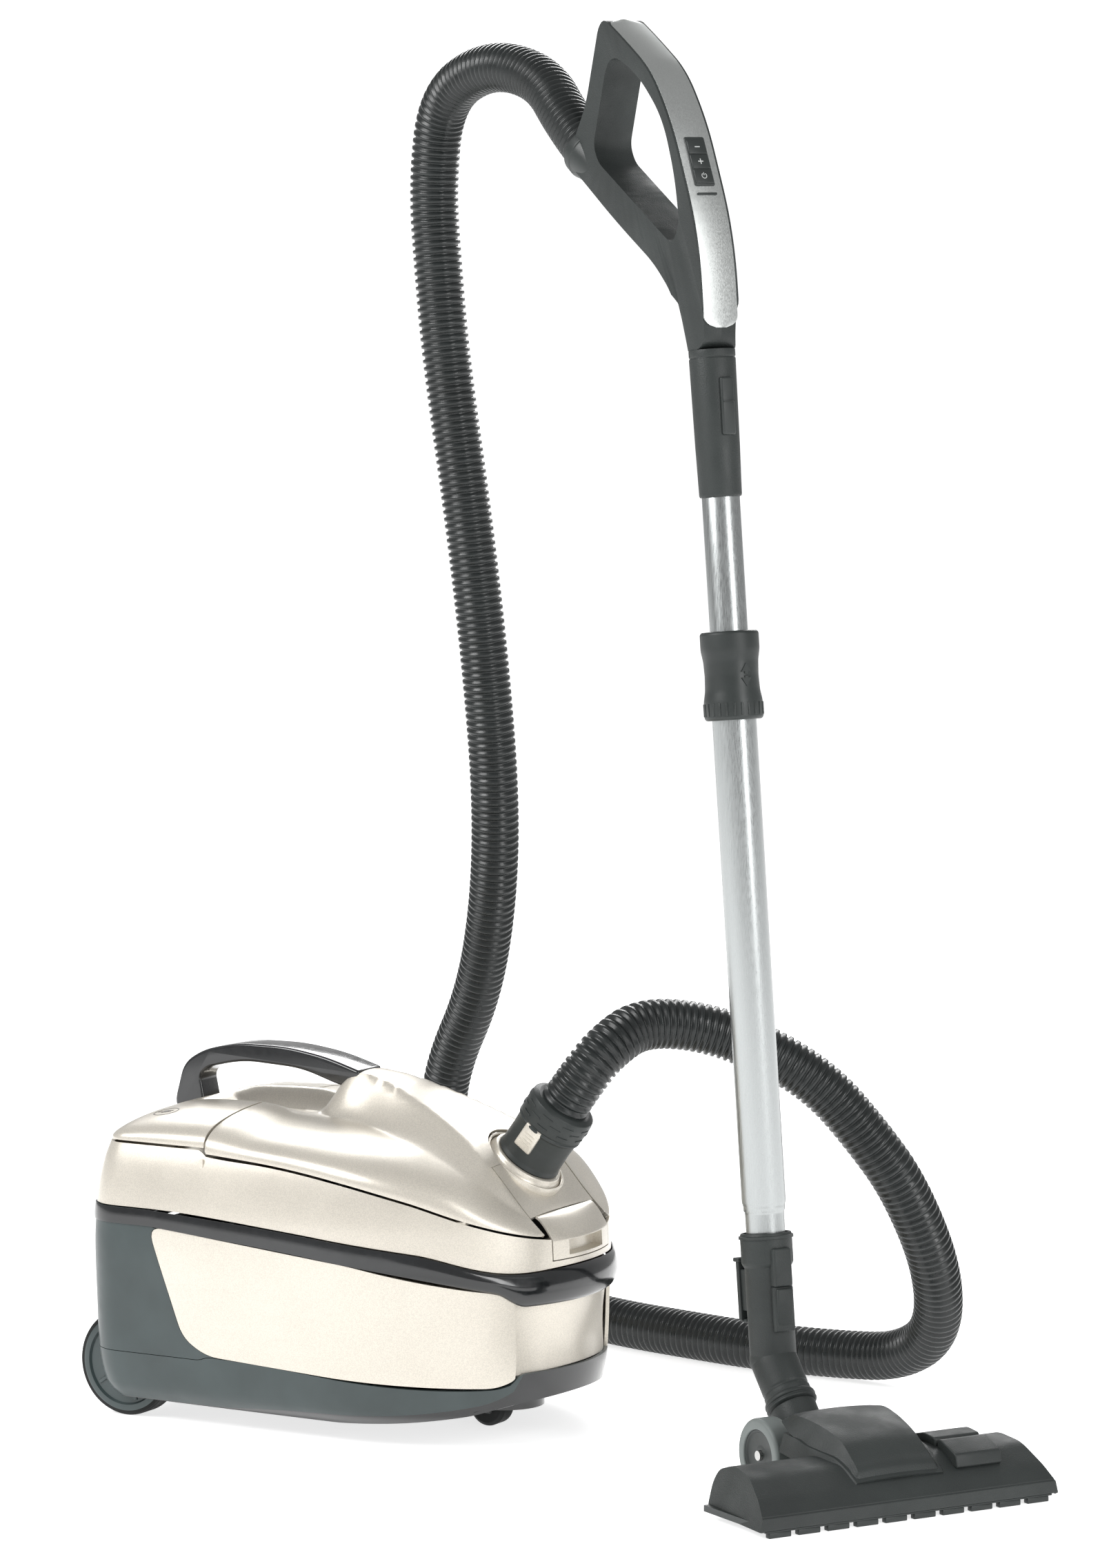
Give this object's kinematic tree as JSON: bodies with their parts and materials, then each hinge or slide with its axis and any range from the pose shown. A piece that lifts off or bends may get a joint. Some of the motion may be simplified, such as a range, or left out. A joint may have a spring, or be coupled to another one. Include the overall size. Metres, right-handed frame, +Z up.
{
  "type": "canister vacuum cleaner",
  "caption": "Canister vacuum cleaner with carry handle, ribbed suction hose, telescopic wand and wide floor tool.",
  "frame": {"origin": "on the floor under the middle of the canister, wand and floor tool together", "axes": "+X from the canister's tail to its nose, +Y to the machine's left, +Z up"},
  "size_m": [0.8717, 0.655, 1.1736],
  "materials": {
    "champagne": "metallic satin plastic",
    "slate": "satin moulded plastic",
    "black": "gloss plastic",
    "textured_black": "fine textured plastic",
    "silver": "satin silver",
    "tube": "satin anodised",
    "tyre": "matt rubber",
    "rubber": "matt rubber",
    "steel": "bright",
    "hose": "semi-gloss ribbed plastic",
    "paper": "non-woven bag",
    "filter": "pleated filter",
    "board": "circuit board",
    "bristle": "bristle",
    "grey": "light grey plastic"
  },
  "bodies": {
    "housing": {"base_tray": "slate", "rear_shell": "slate", "upper_housing": "champagne", "side_panel_left": "champagne", "side_panel_right": "champagne", "front_cover": "champagne", "bumper_band": "black", "inlet_surround": "champagne", "lid_hinge_pin": "steel", "rear_axles": "steel", "inlet_collar": "champagne", "bag_holder": "grey", "hose_cuff": "textured_black", "motor_bulkhead": "slate", "dust_bag": "paper", "motor_unit": "steel", "motor_filter": "filter", "cord_reel": "grey", "exhaust_filter": "slate", "cord_outlet": "black", "circuit_board": "board", "lid_seal": "rubber", "power_pedal_spring": "steel", "rewind_pedal_spring": "steel", "housing_screws": "steel", "handle_left": "textured_black", "handle_right": "textured_black", "handle_cover": "silver", "hose_socket": "textured_black", "handle_sleeve": "textured_black", "upper_tube": "tube", "suction_hose": "hose"},
    "lid": {"bag_lid": "champagne", "carry_handle": "black"},
    "lid_latch": {"latch": "champagne"},
    "power_foot_pedal": {"power_pedal": "champagne"},
    "rewind_foot_pedal": {"rewind_pedal": "champagne"},
    "left_wheel": {"rear_wheel_left": "slate"},
    "right_wheel": {"rear_wheel_right": "slate"},
    "castor": {"castor_fork": "grey"},
    "castor_roller": {"castor_wheel": "tyre"},
    "left_release": {"release_button_left": "champagne"},
    "right_release": {"release_button_right": "champagne"},
    "on_key": {"power_key": "black"},
    "more_key": {"plus_key": "black"},
    "less_key": {"minus_key": "black"},
    "sleeve_lock": {"sleeve_button": "black"},
    "wand": {"lower_tube": "tube", "tool_neck": "textured_black"},
    "collar": {"slide_collar": "textured_black"},
    "neck_lock": {"neck_button": "grey"},
    "elbow_joint": {"elbow": "textured_black"},
    "head": {"sole_plate": "black", "tool_cover": "textured_black", "front_skirt": "rubber", "roller_axle": "steel"},
    "left_roller": {"roller_left": "grey"},
    "right_roller": {"roller_right": "grey"},
    "rocker": {"rocker_pedal": "black"},
    "bristles": {"bristle_strip": "bristle"}
  },
  "joints": [
    {"name": "lid_hinge", "type": "hinge", "parent": "housing", "child": "lid", "pos_m": [-0.391, 0.06, 0.238], "axis": [0, -1, 0], "range_deg": [0, 50]},
    {"name": "latch_pull", "type": "slide", "parent": "housing", "child": "lid_latch", "axis": [1, 0, 0], "range_m": [0, 0.003], "stiffness_N_per_m": 1500, "springref_m": -0.001},
    {"name": "power_press", "type": "hinge", "parent": "housing", "child": "power_foot_pedal", "pos_m": [-0.305, 0.06, 0.24], "axis": [0, -1, 0], "range_deg": [0, 3], "stiffness_Nm_per_rad": 12, "springref_deg": -0.57, "deforming": ["power_pedal_spring"]},
    {"name": "rewind_press", "type": "hinge", "parent": "housing", "child": "rewind_foot_pedal", "pos_m": [-0.305, 0.06, 0.24], "axis": [0, -1, 0], "range_deg": [0, 3], "stiffness_Nm_per_rad": 12, "springref_deg": -0.57, "deforming": ["rewind_pedal_spring"]},
    {"name": "left_wheel_spin", "type": "hinge", "parent": "housing", "child": "left_wheel", "pos_m": [-0.391, 0.174, 0.045], "axis": [0, 1, 0], "continuous": true},
    {"name": "right_wheel_spin", "type": "hinge", "parent": "housing", "child": "right_wheel", "pos_m": [-0.391, -0.054, 0.045], "axis": [0, 1, 0], "continuous": true},
    {"name": "castor_swivel", "type": "hinge", "parent": "housing", "child": "castor", "pos_m": [-0.091, 0.06, 0.05], "axis": [0, 0, 1], "continuous": true},
    {"name": "castor_spin", "type": "hinge", "parent": "castor", "child": "castor_roller", "pos_m": [-0.103, 0.06, 0.017], "axis": [0, 1, 0], "continuous": true},
    {"name": "left_release_press", "type": "slide", "parent": "housing", "child": "left_release", "axis": [0, -1, 0], "range_m": [0, 0.0018], "stiffness_N_per_m": 800, "springref_m": -0.001},
    {"name": "right_release_press", "type": "slide", "parent": "housing", "child": "right_release", "axis": [0, 1, 0], "range_m": [0, 0.0018], "stiffness_N_per_m": 800, "springref_m": -0.001},
    {"name": "power_key_press", "type": "slide", "parent": "housing", "child": "on_key", "axis": [-0.7874, 0.4437, -0.4279], "range_m": [0, 0.0008], "stiffness_N_per_m": 400, "springref_m": -0.001},
    {"name": "plus_key_press", "type": "slide", "parent": "housing", "child": "more_key", "axis": [-0.7874, 0.4437, -0.4279], "range_m": [0, 0.0008], "stiffness_N_per_m": 400, "springref_m": -0.001},
    {"name": "minus_key_press", "type": "slide", "parent": "housing", "child": "less_key", "axis": [-0.7874, 0.4437, -0.4279], "range_m": [0, 0.0008], "stiffness_N_per_m": 400, "springref_m": -0.001},
    {"name": "sleeve_lock_press", "type": "slide", "parent": "housing", "child": "sleeve_lock", "axis": [-0.8649, 0.4873, -0.1201], "range_m": [0, 0.001], "stiffness_N_per_m": 800, "springref_m": -0.001},
    {"name": "wand_slide", "type": "slide", "parent": "housing", "child": "wand", "axis": [-0.1047, 0.059, 0.9928], "range_m": [-0.27, 0.1]},
    {"name": "collar_unlock", "type": "slide", "parent": "wand", "child": "collar", "axis": [-0.1047, 0.059, 0.9928], "range_m": [-0.006, 0.006], "stiffness_N_per_m": 800},
    {"name": "neck_lock_press", "type": "slide", "parent": "wand", "child": "neck_lock", "axis": [-0.8649, 0.4873, -0.1201], "range_m": [0, 0.001], "stiffness_N_per_m": 800, "springref_m": -0.001},
    {"name": "neck_swivel", "type": "hinge", "parent": "wand", "child": "elbow_joint", "pos_m": [0.21337, -0.0016, 0.0635], "axis": [-0.56, 0.3155, 0.766], "range_deg": [-90, 90]},
    {"name": "head_tilt", "type": "hinge", "parent": "elbow_joint", "child": "head", "pos_m": [0.24037, -0.01682, 0.03], "axis": [0.4909, 0.8712, 0], "range_deg": [-40, 45]},
    {"name": "left_roller_spin", "type": "hinge", "parent": "head", "child": "left_roller", "pos_m": [0.2605, 0.0189, 0.03], "axis": [0.4909, 0.8712, 0], "continuous": true},
    {"name": "right_roller_spin", "type": "hinge", "parent": "head", "child": "right_roller", "pos_m": [0.22025, -0.05254, 0.03], "axis": [0.4909, 0.8712, 0], "continuous": true},
    {"name": "rocker_tilt", "type": "hinge", "parent": "head", "child": "rocker", "pos_m": [0.36306, 0.00128, 0.04], "axis": [0.4909, 0.8712, 0], "range_deg": [0, 6]},
    {"name": "bristle_slide", "type": "slide", "parent": "head", "child": "bristles", "axis": [0, 0, -1], "range_m": [0, 0.0041]}
  ],
  "couplings": [
    {"joint": "bristle_slide", "follows": "rocker_tilt", "m_per_rad": 0.039}
  ]
}
